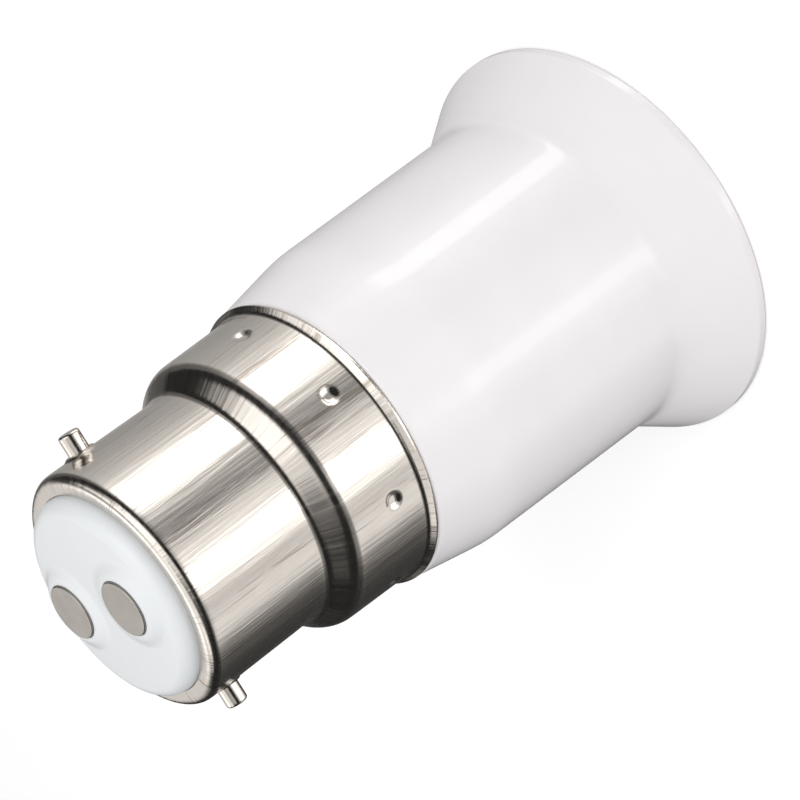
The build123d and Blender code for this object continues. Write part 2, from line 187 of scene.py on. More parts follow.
class CapSizes(PropertyGroup):
    """Sizes of the bayonet cap shell and its pins."""

    sheet: length("Sheet", "Thickness of the drawn sheet", 0.00035)
    lip_radius: length("Lip radius", "Inner edge of the end lip", 0.0094)
    cap_radius: length("Cap radius", "Outside of the plain cylinder", 0.011)
    cap_top: length("Cap top", "Height of the end lip", shell_high.z)
    cap_edge: length("Cap edge", "Rounding at the end lip", 0.001)
    shoulder_high: length("Shoulder high", "Top of the shoulder", 0.0459)
    shoulder_low: length("Shoulder low", "Bottom of the shoulder", 0.04405)
    shoulder_base: length("Shoulder base", "Rounding at the shoulder's foot", 0.0012)
    shoulder_round: length("Shoulder round", "Rounding onto the collar", 0.002)
    collar_radius: length("Collar radius", "Outside of the collar above its rim", 0.01305)
    collar_top_radius: length("Collar top radius", "Outside of the collar at the shoulder", 0.01285)
    rim_flare: length("Rim flare", "How far the collar's rim flares out", 0.0006)
    rim_height: length("Rim height", "Height of the flared rim", 0.00044)
    rim_round: length("Rim round", "Rounding into the flared rim", 0.00055)
    rim_low: length("Rim low", "Height of the rim's end", 0.03596)
    crimp_count: IntProperty(name="Crimps", description="Dimples around the collar", default=8, min=1)
    crimp_height: length("Crimp height", "Height of the dimples", 0.0392)
    crimp_radius: length("Crimp radius", "Radius of a dimple's mouth", 0.00098)
    crimp_depth: length("Crimp depth", "Depth of a dimple", 0.00027)
    pin_height: length("Pin height", "Height of the pins' axis", 0.05464)
    pin_radius: length("Pin radius", "Radius of a pin's head", 0.00095)
    pin_shank: length("Pin shank", "Radius of a pin's pressed end", 0.00075)
    pin_tip: length("Pin tip", "Distance of a pin's end from the axis", 0.013)
    pin_root: length("Pin root", "Inner end of a pin", 0.00865)
    pin_edge: length("Pin edge", "Rounding of a pin's end", 0.00025)
    boss_height: length("Boss height", "Raised sheet around a pin", 0.00025)
    boss_face: length("Boss face", "Radius of the boss's flat", 0.00115)
    boss_foot: length("Boss foot", "Radius of the boss's foot", 0.00162)


class EndSizes(PropertyGroup):
    """Sizes of the insulator and the flat contacts in the end of the cap."""

    skirt_radius: length("Skirt radius", "Outside of the insulator's skirt", insulator_high.x)
    skirt_inside: length("Skirt inside", "Inside of the insulator's skirt", 0.00865)
    skirt_low: length("Skirt low", "Lower end of the skirt", insulator_low.z)
    plate_low: length("Plate low", "Underside of the insulator's plate", 0.05565)
    plate_high: length("Plate high", "Face that bears on the lip", 0.05805)
    plate_edge: length("Plate edge", "Rounding of the plate under the lip", 0.00075)
    button_radius: length("Button radius", "Button that shows through the lip", 0.0093)
    button_top: length("Button top", "Height of the button's flat", 0.0598)
    button_round: length("Button round", "Rounding of the button's edge", 0.0012)
    boss_top: length("Boss top", "Height of the two bosses", insulator_high.z)
    boss_radius: length("Boss radius", "Radius of a boss", 0.00305)
    boss_fall: length("Boss fall", "Width of the slope from a boss to the button", 0.0015)
    button_crown: length("Button crown", "How far the button's face swells in the middle", 0.00045)
    spacing: length("Contact spacing", "Distance between the contacts", 0.009)
    turn: FloatProperty(
        name="Contact turn",
        description="Turn of the contacts' line",
        default=math.radians(86),
        subtype="ANGLE",
    )
    contact_radius: length("Contact radius", "Radius of a contact's face", 0.0025)
    contact_top: length("Contact top", "Height of a contact's face", contact_high.z)
    contact_seat: length("Contact seat", "Underside of a contact's face", 0.0602)
    contact_edge: length("Contact edge", "Rounding of a contact's face", 0.00012)
    contact_gap: length("Contact gap", "Clearance around a contact", 0.00005)
    shank_radius: length("Shank radius", "Hollow shank below a contact", 0.001)
    shank_bore: length("Shank bore", "Bore of the hollow shank", 0.00055)
    shank_low: length("Shank low", "Lower end of the shank", contact_low.z)


class SocketSizes(PropertyGroup):
    """Sizes of the sprung centre contact in the screw socket."""

    strip_thickness: length("Strip thickness", "Sheet of the centre contact", 0.0004)
    strip_width: length("Strip width", "Width of the centre contact", 0.006)
    heel_reach: length("Heel reach", "Distance of the heel from the axis", 0.0046)
    heel_drop: length("Heel drop", "Height of the heel", 0.0022)
    crown_offset: length("Crown offset", "Distance of the crown from the axis", 0.0015)
    crown_drop: length("Crown drop", "Depth of the crown below the floor", 0.0058)
    foot_length: length("Foot length", "Foot beyond the rivet", 0.0032)
    tip_length: length("Tip length", "Turned-up tip", 0.0026)
    tip_rise: length("Tip rise", "Rise of the tip", 0.0015)
    heel_round: length("Heel round", "Rounding of the heel's two bends", 0.001)
    crown_round: length("Crown round", "Rounding of the crown", 0.0022)
    end_round: length("End round", "Rounding of the strip's four corners", 0.0008)


class FinishColours(PropertyGroup):
    """Colours of the finishes."""

    white_housing: colour("Housing", "Glossy white moulding", (0.88, 0.853, 0.867))
    white_insulator: colour("Insulator", "White insert in the cap", (0.765, 0.785, 0.8))
    nickel: colour("Nickel", "Bright plate on the cap", (0.80, 0.755, 0.705))
    # Dark brown of the deeper scratches: partly the plate's real scratches, partly painted dark reflection
    # streaks along the drawn lines
    nickel_scratch_and_painted_streak: colour("Nickel shade", "Plate in the drawn lines", (0.40, 0.345, 0.30))
    contact: colour("Contact", "Satin contact faces", (0.53, 0.5, 0.465))
    bronze: colour("Bronze", "Sprung centre contact", (0.78, 0.56, 0.30))
    copper: colour("Copper", "Bare wire", (0.80, 0.42, 0.26))
    tin: colour("Tin", "Tinned tags and solder", (0.66, 0.66, 0.67))
    live_cover: colour("Live covering", "Brown wire covering", (0.11, 0.035, 0.015))
    neutral_cover: colour("Neutral covering", "Blue wire covering", (0.012, 0.05, 0.28))
    floor: colour("Floor", "Pale floor", (0.93, 0.93, 0.93))


class StageSettings(PropertyGroup):
    """Camera and studio light."""

    camera_spot: vector(
        "Camera spot", "Place of the camera", (0.03615, -0.20021, 0.14656), "TRANSLATION"
    )
    camera_right: vector(
        "Camera right", "The picture's right side", (-0.51359, -0.50879, -0.69092), "DIRECTION"
    )
    camera_up: vector(
        "Camera up", "The picture's top", (0.84353, -0.15201, -0.51511), "DIRECTION"
    )
    lens: number("Lens", "Focal length in millimetres", 124.4)
    world_light: number("World light", "Level of the even light all round", 0.53)
    key_light: power("Key light", "Power of the main soft lamp", 1.2)
    fill_light: power("Fill light", "Power of the fill lamp", 0.5)
    top_light: power("Top light", "Power of the lamp above", 0.75)
    floor_lift: number("Floor lift", "White added to the floor where it is seen", 0.2)
    dome_radius: length("Dome radius", "Radius of the light dome that gloss reflects", 1.8)


class AdapterSettings(PropertyGroup):
    """All the sizes, colours and stage settings of the adapter."""

    housing: PointerProperty(type=HousingSizes)
    cap: PointerProperty(type=CapSizes)
    end: PointerProperty(type=EndSizes)
    socket: PointerProperty(type=SocketSizes)
    finish: PointerProperty(type=FinishColours)
    stage: PointerProperty(type=StageSettings)


# Outlines and meshes


def rounded(corners, closed=True, step=0.0006, arc_step=math.radians(7)):
    """Outline through (x, y, rounding) corners with arcs at the corners and short steps on the runs."""
    count = len(corners)
    points = [np.array(corner[:2], float) for corner in corners]
    line = []
    for i, corner in enumerate(corners):
        here = points[i]
        if corner[2] <= 0 or (not closed and i in (0, count - 1)):
            line.append(here)
            continue
        back = points[i - 1] - here
        ahead = points[(i + 1) % count] - here
        back /= np.linalg.norm(back)
        ahead /= np.linalg.norm(ahead)
        half = math.acos(np.clip(back @ ahead, -1, 1)) / 2
        centre = here + (back + ahead) / np.linalg.norm(back + ahead) * corner[2] / math.sin(half)
        start = here + back * corner[2] / math.tan(half) - centre
        end = here + ahead * corner[2] / math.tan(half) - centre
        sweep = math.pi - 2 * half
        pieces = max(LEAST_ARC_PIECES, math.ceil(sweep / arc_step))
        for k in range(pieces + 1):
            share = k / pieces
            spoke = start * math.sin((1 - share) * sweep) + end * math.sin(share * sweep)
            line.append(centre + spoke / math.sin(sweep))
    stepped = []
    last = len(line) if closed else len(line) - 1
    for i in range(last):
        run = line[(i + 1) % len(line)] - line[i]
        pieces = max(1, math.ceil(np.linalg.norm(run) / step))
        stepped.extend(line[i] + run * k / pieces for k in range(pieces))
    if not closed:
        stepped.append(line[-1])
    return np.array(stepped)


def thickened(line, thickness):
    """Closed outline of a sheet: a line, its copy at the thickness on its right, and rounded ends."""
    ahead = np.gradient(line, axis=0)
    ahead /= np.linalg.norm(ahead, axis=1)[:, None]
    right = np.stack([ahead[:, 1], -ahead[:, 0]], axis=1)
    far = line + right * thickness
    share = np.linspace(0, 1, END_POINTS + 2)[1:-1, None]
    swell = abs(thickness) * END_SWELL * np.sin(math.pi * share)
    tail = line[-1] + share * (far[-1] - line[-1]) + swell * ahead[-1]
    head = far[0] + share * (line[0] - far[0]) - swell * ahead[0]
    return np.concatenate([line, tail, far[::-1], head])


def shortened(line, trim):
    """Line with a length trimmed off both its ends, and as many points."""
    run = np.concatenate([[0], np.cumsum(np.linalg.norm(np.diff(line, axis=0), axis=1))])
    along = trim + run * (1 - 2 * trim / run[-1])
    return np.stack([np.interp(along, run, line[:, 0]), np.interp(along, run, line[:, 1])], axis=1)


def sheet_side(count):
    """Faces that fill the side of a thickened line with that many points."""
    far = 2 * count + END_POINTS - 1
    faces = [(j, j + 1, far - j - 1, far - j) for j in range(count - 1)]
    faces.append(tuple(range(count - 1, count + END_POINTS + 1)))
    faces.append((*range(far, far + END_POINTS + 1), 0))
    return faces


def even_turns(count):
    """Angles of evenly spaced columns around the axis."""
    return np.arange(count) * 2 * math.pi / count


def mesh_object(name, points, faces):
    """New object from points and faces, with its faces turned outward and its normals smooth."""
    mesh = bpy.data.meshes.new(name)
    mesh.from_pydata(np.asarray(points).tolist(), [], faces)
    shaped = bmesh.new()
    shaped.from_mesh(mesh)
    bmesh.ops.remove_doubles(shaped, verts=shaped.verts, dist=MERGE_DISTANCE)
    bmesh.ops.recalc_face_normals(shaped, faces=shaped.faces)
    shaped.to_mesh(mesh)
    shaped.free()
    mesh.shade_smooth()
    mesh.set_sharp_from_angle(angle=SMOOTH_ANGLE)
    piece = bpy.data.objects.new(name, mesh)
    bpy.context.scene.collection.objects.link(piece)
    return piece


def grid_faces(rows, columns):
    """Faces of a grid that closes on itself both ways."""
    faces = []
    for i in range(rows):
        low = i * columns
        high = (i + 1) % rows * columns
        for j in range(columns):
            beside = (j + 1) % columns
            faces.append((low + j, low + beside, high + beside, high + j))
    return faces


def turned_points(outline, turns):
    """Points of a closed (radius, height) outline turned about the axis."""
    ways = np.stack([np.cos(turns), np.sin(turns)], axis=1)
    flat = outline[:, None, :1] * ways[None]
    high = np.broadcast_to(outline[:, None, 1:], (len(outline), len(turns), 1))
    return np.concatenate([flat, high], axis=2).reshape(-1, 3)


def turned(name, outline, turns):
    """Piece turned about the axis from a closed (radius, height) outline."""
    return mesh_object(name, turned_points(outline, turns), grid_faces(len(outline), len(turns)))


def ball(radius, rings=24, columns=48):
    """Points and faces of a ball."""
    tilts = np.linspace(0, math.pi, rings)
    outline = radius * np.stack([np.sin(tilts), -np.cos(tilts)], axis=1)
    faces = [face for face in grid_faces(rings, columns) if max(face) - min(face) < 2 * columns]
    return turned_points(outline, even_turns(columns)), faces


def cut_away(piece, cutters):
    """Cut other objects out of a piece, and remove them."""
    for cutter in cutters:
        modifier = piece.modifiers.new("cut", "BOOLEAN")
        modifier.operation = "DIFFERENCE"
        modifier.object = cutter
        modifier.solver = "EXACT"
    seen = piece.evaluated_get(bpy.context.evaluated_depsgraph_get())
    mesh = bpy.data.meshes.new_from_object(seen)
    if len(mesh.polygons) == len(piece.data.polygons):
        raise RuntimeError(f"{piece.name} wasn't cut")
    piece.modifiers.clear()
    piece.data = mesh
    for cutter in cutters:
        bpy.data.objects.remove(cutter)
    mesh.shade_smooth()
    mesh.set_sharp_from_angle(angle=SMOOTH_ANGLE)


def eased(share):
    """Share from 0 to 1 with soft starts at both ends."""
    held = np.clip(share, 0, 1)
    return held**2 * (3 - 2 * held)


def dimple(distance, radius, depth):
    """Depth of a round punched dimple with a small flat, at a distance from its middle."""
    return depth * (1 - eased((distance / radius - DIMPLE_FLAT) / (1 - DIMPLE_FLAT)))


def crimp_turns(cap):
    """Angles of the crimp dimples around the collar."""
    return [2 * math.pi * (k + 0.5) / cap.crimp_count for k in range(cap.crimp_count)]


def crimped(points, cap):
    """Push points inward at the crimp dimples around the collar."""
    turns = np.arctan2(points[:, 1], points[:, 0])
    radii = np.hypot(points[:, 0], points[:, 1])
    push = np.zeros(len(points))
    for middle in crimp_turns(cap):
        around = (turns - middle + math.pi) % (2 * math.pi) - math.pi
        away = np.hypot(around * cap.collar_radius, points[:, 2] - cap.crimp_height)
        push += dimple(away, cap.crimp_radius, cap.crimp_depth)
    moved = points.copy()
    moved[:, :2] *= (1 - push / np.maximum(radii, TINY))[:, None]
    return moved


# Shader tools


def add(tree, kind, inputs=None, **settings):
    """Add a node, set it, and feed its inputs with values or other nodes' sockets."""
    made = tree.nodes.new(kind)
    made.location = (NODE_GAP * len(tree.nodes), 0)
    for key, value in settings.items():
        setattr(made, key, value)
    for key, value in (inputs or {}).items():
        if isinstance(value, bpy.types.NodeSocket):
            tree.links.new(value, made.inputs[key])
        else:
            made.inputs[key].default_value = value
    return made


def new_group(name, inputs, outputs):
    """Shader node group with named number sockets."""
    group = bpy.data.node_groups.new(name, "ShaderNodeTree")
    for label, default in inputs.items():
        socket = group.interface.new_socket(name=label, in_out="INPUT", socket_type="NodeSocketFloat")
        socket.default_value = default
    for label in outputs:
        group.interface.new_socket(name=label, in_out="OUTPUT", socket_type="NodeSocketFloat")
    return group, add(group, "NodeGroupInput"), add(group, "NodeGroupOutput")


def spread(tree, value, low, high, to_low, to_high):
    """Map a value from one range to another, held at the ends."""
    inputs = {"Value": value, "From Min": low, "From Max": high, "To Min": to_low, "To Max": to_high}
    return add(tree, "ShaderNodeMapRange", inputs).outputs["Result"]


def ranged(tree, share, low, high):
    """Value between two limits by a share from 0 to 1."""
    return spread(tree, share, 0.0, 1.0, low, high)


def mask(tree, value, low, high):
    """Mask that is 0 up to one value and 1 from another."""
    return spread(tree, value, low, high, 0.0, 1.0)


def combined(tree, operation, first, second=0.0):
    """Result of a math operation on one or two values."""
    return add(tree, "ShaderNodeMath", {0: first, 1: second}, operation=operation).outputs["Value"]


def scaled(tree, value, share):
    """Value times a share."""
    return combined(tree, "MULTIPLY", value, share)


def product(tree, first, *others):
    """Values multiplied together."""
    for other in others:
        first = combined(tree, "MULTIPLY", first, other)
    return first


def vector_math(tree, operation, inputs):
    """Result of a math operation on vectors."""
    return add(tree, "ShaderNodeVectorMath", inputs, operation=operation).outputs["Vector"]


def object_place(tree):
    """Place on the object, in its own frame."""
    return add(tree, "ShaderNodeTexCoord").outputs["Object"]


def noise(tree, place, scale, detail, **more):
    """Cloudy noise over a place."""
    inputs = {"Vector": place, "Scale": scale, "Detail": detail, **more}
    return add(tree, "ShaderNodeTexNoise", inputs).outputs["Fac"]


def give(group, leave, **values):
    """Link values to the outputs of a group."""
    for label, value in values.items():
        group.links.new(value, leave.inputs[label])


def drawn_lines_group():
    """Fine lines left by drawing the sheet along the axis, and a few deeper scratches, whose mask also
    places painted dark reflection streaks.
    """
    inputs = {"Fineness": 30.0, "Along": 130.0}
    group, entry, leave = new_group("Drawn lines", inputs, ("Lines", "Scratches", "Bands"))
    axes = add(group, "ShaderNodeSeparateXYZ", {"Vector": object_place(group)}).outputs
    flat = add(group, "ShaderNodeCombineXYZ", {"X": axes["X"], "Y": axes["Y"]}).outputs["Vector"]
    around = vector_math(group, "NORMALIZE", {0: flat})
    across = vector_math(group, "SCALE", {0: around, "Scale": entry.outputs["Fineness"]})
    along = combined(group, "MULTIPLY", axes["Z"], entry.outputs["Along"])
    lift = add(group, "ShaderNodeCombineXYZ", {"Z": along}).outputs["Vector"]
    drawn = vector_math(group, "ADD", {0: across, 1: lift})
    fine = noise(group, drawn, scale=1.0, detail=3.0, Roughness=0.6)
    coarse = noise(group, drawn, scale=0.2, detail=3.0, Roughness=0.6)
    thin = mask(group, fine, low=0.54, high=0.64)
    cluster = mask(group, coarse, low=0.48, high=0.6)
    give(
        group,
        leave,
        Lines=mask(group, fine, low=0.3, high=0.7),
        Scratches=combined(group, "MULTIPLY", thin, cluster),
        Bands=mask(group, coarse, low=0.32, high=0.68),
    )
    return group


def moulded_skin_group():
    """Slow waves and fine grain of a moulded skin."""
    inputs = {"Wave": 160.0, "Grain": 5200.0}
    group, entry, leave = new_group("Moulded skin", inputs, ("Tone", "Gloss", "Height"))
    place = object_place(group)
    wave = noise(group, place, entry.outputs["Wave"], detail=2.0)
    grain = noise(group, place, entry.outputs["Grain"], detail=3.0)
    slow = scaled(group, wave, share=0.8)
    fine = scaled(group, grain, share=0.03)
    give(
        group,
        leave,
        Tone=mask(group, wave, low=0.3, high=0.7),
        Gloss=mask(group, grain, low=0.35, high=0.75),
        Height=combined(group, "ADD", slow, fine),
    )
    return group


def handling_group():
    """Cloudy smudges, small pits and edges rubbed bright."""
    inputs = {"Cloud": 260.0, "Pits": 2400.0}
    group, entry, leave = new_group("Handling marks", inputs, ("Smudge", "Pits", "Edge"))
    place = object_place(group)
    cloud = noise(group, place, entry.outputs["Cloud"], detail=5.0, Roughness=0.6, Distortion=0.4)
    cells = {"Vector": place, "Scale": entry.outputs["Pits"], "Randomness": 1.0}
    cell = add(group, "ShaderNodeTexVoronoi", cells).outputs["Distance"]
    point = add(group, "ShaderNodeNewGeometry").outputs["Pointiness"]
    give(
        group,
        leave,
        Smudge=mask(group, cloud, low=0.38, high=0.68),
        Pits=spread(group, cell, low=0.02, high=0.14, to_low=1.0, to_high=0.0),
        Edge=mask(group, point, low=0.51, high=0.58),
    )
    return group


def shared(name, maker):
    """Shared node group by name, built the first time that it is asked for."""
    return bpy.data.node_groups.get(name) or maker()


def placed(tree, group, **values):
    """Outputs of a shared group, placed in a material with its own values."""
    made = add(tree, "ShaderNodeGroup")
    made.node_tree = group
    for key, value in values.items():
        made.inputs[key].default_value = value
    return made.outputs


def mixed(tree, share, first, second):
    """Colour between two colours."""
    made = add(tree, "ShaderNodeMix", data_type="RGBA")
    for place, value in zip(MIX_INPUTS, (share, first, second)):
        socket = made.inputs[place]
        if isinstance(value, bpy.types.NodeSocket):
            tree.links.new(value, socket)
        elif isinstance(value, float):
            socket.default_value = value
        else:
            socket.default_value = (*value, 1.0)
    return made.outputs[MIX_RESULT]


def tinted(tree, base, where, amount, tint):
    """Colour moved towards a tint by an amount where a mask shows."""
    return mixed(tree, scaled(tree, where, amount), base, tint)


def empty_tree(owner):
    """Emptied node tree of a material or a world."""
    owner.use_nodes = True
    owner.node_tree.nodes.clear()
    return owner.node_tree


def new_material(name):
    """New material, its tree and its principled shader, joined to the output."""
    material = bpy.data.materials.new(name)
    tree = empty_tree(material)
    shader = add(tree, "ShaderNodeBsdfPrincipled")
    add(tree, "ShaderNodeOutputMaterial", {"Surface": shader.outputs["BSDF"]})
    return material, tree, shader


def feed(tree, shader, name, value):
    """Feed one of the shader's inputs from another node's socket."""
    tree.links.new(value, shader.inputs[name])


def bumped(tree, shader, height, strength, distance):
    """Give the shader a bump from a height."""
    bump = add(tree, "ShaderNodeBump", {"Height": height, "Strength": strength, "Distance": distance})
    feed(tree, shader, "Normal", bump.outputs["Normal"])


def shaded(shade, share):
    """Colour scaled towards black or, by a share above 1, towards white."""
    return tuple(min(1.0, channel * share) for channel in shade)


def moulded_material(name, shade, glossy, dull, wave_height):
    """Moulded plastic: slow waves in the skin, fine grain, faint handling marks."""
    material, tree, shader = new_material(name)
    skin = placed(tree, shared("Moulded skin", moulded_skin_group))
    marks = placed(tree, shared("Handling marks", handling_group))
    toned = mixed(tree, skin["Tone"], tuple(shade), shaded(shade, share=0.975))
    smudged = tinted(tree, toned, marks["Smudge"], amount=0.35, tint=shaded(shade, share=0.965))
    feed(tree, shader, "Base Color", smudged)
    rough = ranged(tree, skin["Gloss"], glossy, dull)
    duller = scaled(tree, marks["Smudge"], share=0.03)
    feed(tree, shader, "Roughness", combined(tree, "ADD", rough, duller))
    bumped(tree, shader, skin["Height"], strength=0.5, distance=wave_height)
    shader.inputs["IOR"].default_value = 1.5
    return material


def plated_material(name, bright, shade, glossy, dull, line_height, along=130.0):
    """Plated drawn sheet: axial lines, deeper scratches with painted dark reflection streaks, smudges and
    bright rubbed edges.
    """
    material, tree, shader = new_material(name)
    lines = placed(tree, shared("Drawn lines", drawn_lines_group), Along=along)
    marks = placed(tree, shared("Handling marks", handling_group))
    # Scratches darken the plate towards the scratch colour: partly real scratches, partly painted dark
    # reflection streaks along the drawn lines
    scratched_and_streaked = tinted(tree, tuple(bright), lines["Scratches"], amount=0.8, tint=tuple(shade))
    clouded = tinted(tree, scratched_and_streaked, marks["Smudge"], amount=0.18, tint=shaded(bright, share=0.8))
    rubbed = tinted(tree, clouded, marks["Edge"], amount=0.5, tint=shaded(bright, share=1.1))
    feed(tree, shader, "Base Color", rubbed)
    rough = ranged(tree, lines["Lines"], glossy, dull)
    duller = scaled(tree, marks["Smudge"], share=0.04)
    feed(tree, shader, "Roughness", combined(tree, "ADD", rough, duller))
    crowding = spread(tree, lines["Bands"], low=0.2, high=0.8, to_low=0.3, to_high=1.0)
    clustered = combined(tree, "MULTIPLY", lines["Lines"], crowding)
    waved = combined(tree, "ADD", clustered, scaled(tree, lines["Bands"], share=0.8))
    scratched = combined(tree, "SUBTRACT", waved, scaled(tree, lines["Scratches"], share=0.4))
    bumped(tree, shader, scratched, strength=1.0, distance=line_height)
    shader.inputs["Metallic"].default_value = 1.0
    return material


def metal_material(name, bright, glossy, dull, grain_height):
    """Plain metal: fine grain, small pits and smudges."""
    material, tree, shader = new_material(name)
    skin = placed(tree, shared("Moulded skin", moulded_skin_group), Wave=420.0, Grain=6000.0)
    marks = placed(tree, shared("Handling marks", handling_group), Cloud=520.0, Pits=1500.0)
    toned = mixed(tree, skin["Tone"], tuple(bright), shaded(bright, share=0.86))
    pitted = tinted(tree, toned, marks["Pits"], amount=0.35, tint=shaded(bright, share=0.55))
    smudged = tinted(tree, pitted, marks["Smudge"], amount=0.3, tint=shaded(bright, share=0.82))
    feed(tree, shader, "Base Color", smudged)
    feed(tree, shader, "Roughness", ranged(tree, skin["Gloss"], glossy, dull))
    bumped(tree, shader, skin["Gloss"], strength=0.6, distance=grain_height)
    shader.inputs["Metallic"].default_value = 1.0
    return material


def covering_material(name, shade):
    """Soft wire covering: slow tone, fine grain and a dull sheen."""
    material, tree, shader = new_material(name)
    skin = placed(tree, shared("Moulded skin", moulded_skin_group), Wave=700.0, Grain=9000.0)
    feed(tree, shader, "Base Color", mixed(tree, skin["Tone"], tuple(shade), shaded(shade, share=0.75)))
    feed(tree, shader, "Roughness", ranged(tree, skin["Gloss"], low=0.38, high=0.55))
    bumped(tree, shader, skin["Gloss"], strength=0.4, distance=0.00001)
    return material


def dress(piece, material, slot, *nodes, body=BODY):
    """Give a new piece its material, hide the CAD nodes it stands for and let it ride on its body; the slot
    is not used.
    """
    piece.data.materials.clear()
    piece.data.materials.append(material)
    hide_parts(*nodes)
    if body:
        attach(piece, body)


def repaint(material, *nodes):
    """Give CAD nodes that keep their shape a better material."""
    for node in nodes:
        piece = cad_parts[node]
        for place in piece.material_slots:
            place.material = material


def settings_of(context):
    """The adapter's settings in this scene."""
    return context.scene.adapter


class ADAPTER_OT_housing(Operator):
    """Build the white housing: flared mouth, barrel, neck, floor and spigot"""

    bl_idname = "adapter.housing"
    bl_label = "Housing"

    def execute(self, context):
        s = settings_of(context).housing
        inner = s.mouth_radius - s.mouth_wall
        corners = [
            (inner, 0.0, s.mouth_edge / 2),
            (s.mouth_radius, 0.0, s.mouth_edge),
            (s.mouth_radius, s.mouth_land, s.mouth_edge),
            (s.barrel_low_radius, s.flare_top, s.flare_blend),
            (s.barrel_top_radius, s.barrel_top, s.neck_blend),
            (s.neck_radius, s.neck_top, s.neck_edge),
            (s.spigot_radius, s.neck_top, 0.0),
            (s.spigot_top_radius, s.spigot_top, s.spigot_edge),
            (s.cavity_radius, s.spigot_top, s.spigot_edge),
            (s.cavity_radius, s.floor_top, 0.0),
            (0.0, s.floor_top, 0.0),
            (0.0, s.floor_low, 0.0),
            (s.bore_radius, s.floor_low, 0.0),
            (s.bore_radius, s.throat, s.mouth_wall),
            (inner, s.mouth_inside, s.mouth_wall),
        ]
        outline = rounded(corners, arc_step=math.radians(3.5))
        turns = even_turns(HOUSING_COLUMNS)
        points = turned_points(outline, turns)
        spigot = points[:, 2] > s.neck_top + SPIGOT_CLEAR
        points[spigot] = crimped(points[spigot], settings_of(context).cap)
        piece = mesh_object("white_housing", points, grid_faces(len(outline), len(turns)))
        shade = settings_of(context).finish.white_housing
        white = moulded_material("glossy_white", shade, glossy=0.045, dull=0.085, wave_height=0.00002)
        dress(piece, white, "white_housing", "housing")
        return {"FINISHED"}


def cap_columns(cap):
    """Angles of the cap shell's columns, close together at the crimps and the pins."""
    turns = set()
    for middles, half, step in (
        (crimp_turns(cap), CRIMP_REACH, CRIMP_STEP),
        ((0.0, math.pi), PIN_REACH, PIN_STEP),
    ):
        for middle in middles:
            for k in range(int(-half / step), int(half / step) + 1):
                turns.add(round(math.degrees(middle) + k * step, 4) % 360)
    dense = sorted(turns)
    for low, high in zip(dense, dense[1:] + [dense[0] + 360]):
        pieces = math.ceil((high - low) / PLAIN_STEP)
        turns.update((low + (high - low) * k / pieces) % 360 for k in range(1, pieces))
    return np.radians(sorted(turns))


class ADAPTER_OT_cap_shell(Operator):
    """Build the drawn cap shell: lip, cylinder with pin bosses, shoulder, collar with crimps"""

    bl_idname = "adapter.cap_shell"
    bl_label = "Cap shell"

    def execute(self, context):
        s = settings_of(context).cap
        corners = [
            (s.collar_radius + s.rim_flare, s.rim_low, 0.0),
            (s.collar_radius, s.rim_low + s.rim_height, s.rim_round),
            (s.collar_top_radius, s.shoulder_low, s.shoulder_round),
            (s.cap_radius, s.shoulder_high, s.shoulder_base),
            (s.cap_radius, s.cap_top, s.cap_edge),
            (s.lip_radius, s.cap_top, 0.0),
        ]
        face = rounded(corners, closed=False, step=0.00013, arc_step=math.radians(8))
        line = [face[0]]
        for point in face[1:]:
            near_crimp = abs(point[1] - s.crimp_height) < CRIMP_ROWS * s.crimp_radius
            near_pin = abs(point[1] - s.pin_height) < BOSS_ROWS * s.boss_foot
            straight = abs(point[0] - line[-1][0]) < STRAIGHT_SLOPE * abs(point[1] - line[-1][1])
            fine = near_crimp or near_pin or not straight
            if fine or point[1] - line[-1][1] > PLAIN_ROW:
                line.append(point)
        outline = thickened(np.array(line), -s.sheet)
        turns = cap_columns(s)
        points = crimped(turned_points(outline, turns), s)
        from_pin = np.hypot(points[:, 1], points[:, 2] - s.pin_height)
        lift = s.boss_height * eased((s.boss_foot - from_pin) / (s.boss_foot - s.boss_face))
        on_cap = points[:, 2] > s.shoulder_high
        radii = np.hypot(points[:, 0], points[:, 1])
        points[on_cap, :2] *= (1 + lift / radii)[on_cap, None]
        piece = mesh_object("cap_shell", points, grid_faces(len(outline), len(turns)))
        finish = settings_of(context).finish
        plate = plated_material(
            "bright_nickel", finish.nickel, finish.nickel_scratch_and_painted_streak, glossy=0.1, dull=0.22, line_height=0.000017
        )
        dress(piece, plate, "nickel_plate", "bayonet_cap_shell")
        return {"FINISHED"}


class ADAPTER_OT_pins(Operator):
    """Build the two shouldered bayonet pins"""

    bl_idname = "adapter.pins"
    bl_label = "Bayonet pins"

    def execute(self, context):
        s = settings_of(context).cap
        finish = settings_of(context).finish
        seat = s.cap_radius + s.boss_height
        corners = [
            (0.0, s.pin_root, 0.0),
            (s.pin_shank, s.pin_root, 0.0),
            (s.pin_shank, seat, 0.0),
            (s.pin_radius, seat, 0.0),
            (s.pin_radius, s.pin_tip, s.pin_edge),
            (0.0, s.pin_tip, 0.0),
        ]
        outline = rounded(corners, step=0.0002)
        plate = metal_material("pin_nickel", finish.nickel, glossy=0.12, dull=0.24, grain_height=0.000003)
        lay = Matrix.Translation((0, 0, s.pin_height)) @ Matrix.Rotation(math.pi / 2, 4, "Y")
        for side, turn in (("right", 0), ("left", math.pi)):
            piece = turned(f"pin_{side}", outline, even_turns(PIN_COLUMNS))
            piece.data.transform(Matrix.Rotation(turn, 4, "Z") @ lay)
            dress(piece, plate, "nickel_plate", f"bayonet_pin_{side}")
        return {"FINISHED"}


def contact_spots(end):
    """Places of the live and neutral contacts."""
    reach = end.spacing / 2
    live = Vector((reach * math.cos(end.turn), reach * math.sin(end.turn), 0))
    return live, -live


